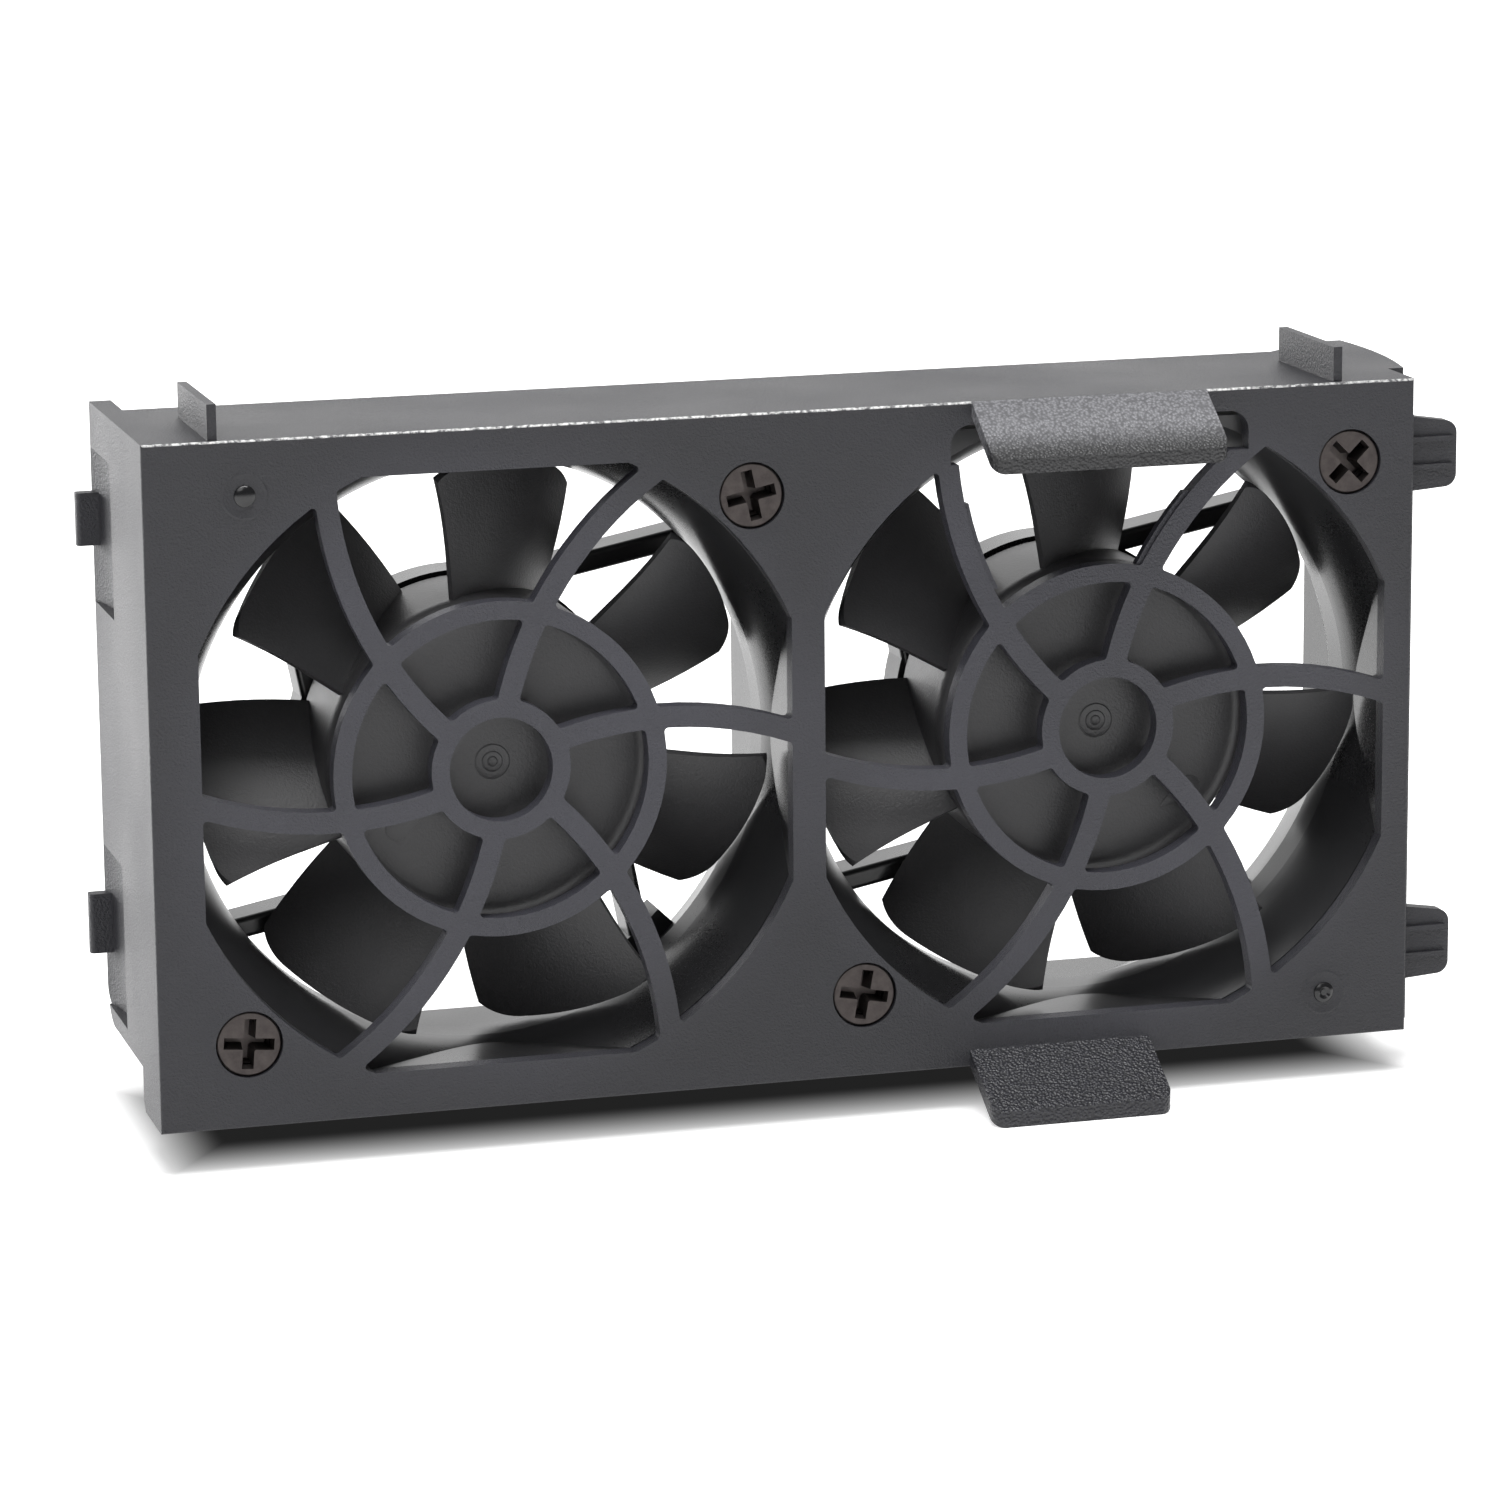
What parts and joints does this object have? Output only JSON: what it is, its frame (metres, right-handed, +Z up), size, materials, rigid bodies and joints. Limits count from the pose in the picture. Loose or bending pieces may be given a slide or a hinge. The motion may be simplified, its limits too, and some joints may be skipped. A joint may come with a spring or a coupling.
{
  "type": "server fan module",
  "caption": "Moulded bracket that holds axial fans side by side behind a grille of curved arms, with finger grips, guide fins, hooks and tabs.",
  "frame": {"origin": "on the underside of the bottom wall at the front face of the grille plate, midway between the fan axes", "axes": "+X to the right along the bracket, +Y from the grille back through the fans, +Z up"},
  "size_m": [0.134, 0.0359, 0.0739],
  "materials": {
    "bracket_plastic": "fine moulded grain",
    "black_screw_steel": "black oxide",
    "fan_plastic": "semi-gloss",
    "yoke_steel": "drawn and plated",
    "magnet": "matt moulded magnet",
    "shaft_steel": "ground",
    "bush_brass": "turned",
    "spring_steel": "rolled",
    "bearing_steel": "ground",
    "core_steel": "stacked sheet",
    "bobbin_plastic": "natural nylon",
    "winding_wire": "enamelled wire",
    "board": "solder resist",
    "cap_plastic": "matt"
  },
  "bodies": {
    "bracket": {"bracket": "bracket_plastic", "fan_screws": "black_screw_steel", "left_fan_frame": "fan_plastic", "left_motor_base": "fan_plastic", "left_front_bearing": "bearing_steel", "left_rear_bearing": "bearing_steel", "left_stator_core": "core_steel", "left_coil_insulator": "bobbin_plastic", "left_coils": "winding_wire", "left_circuit_board": "board", "left_bearing_cap": "cap_plastic", "right_fan_frame": "fan_plastic", "right_motor_base": "fan_plastic", "right_front_bearing": "bearing_steel", "right_rear_bearing": "bearing_steel", "right_stator_core": "core_steel", "right_coil_insulator": "bobbin_plastic", "right_coils": "winding_wire", "right_circuit_board": "board", "right_bearing_cap": "cap_plastic"},
    "left_rotor": {"left_impeller": "fan_plastic", "left_rotor_yoke": "yoke_steel", "left_ring_magnet": "magnet", "left_shaft": "shaft_steel", "left_shaft_bushing": "bush_brass", "left_preload_spring": "spring_steel", "left_retaining_clip": "spring_steel"},
    "right_rotor": {"right_impeller": "fan_plastic", "right_rotor_yoke": "yoke_steel", "right_ring_magnet": "magnet", "right_shaft": "shaft_steel", "right_shaft_bushing": "bush_brass", "right_preload_spring": "spring_steel", "right_retaining_clip": "spring_steel"}
  },
  "joints": [
    {"name": "left_rotor_spin", "type": "hinge", "parent": "bracket", "child": "left_rotor", "pos_m": [-0.0305, 0.0118, 0.03315], "axis": [0, -1, 0], "continuous": true},
    {"name": "right_rotor_spin", "type": "hinge", "parent": "bracket", "child": "right_rotor", "pos_m": [0.0305, 0.0118, 0.03315], "axis": [0, -1, 0], "continuous": true}
  ]
}
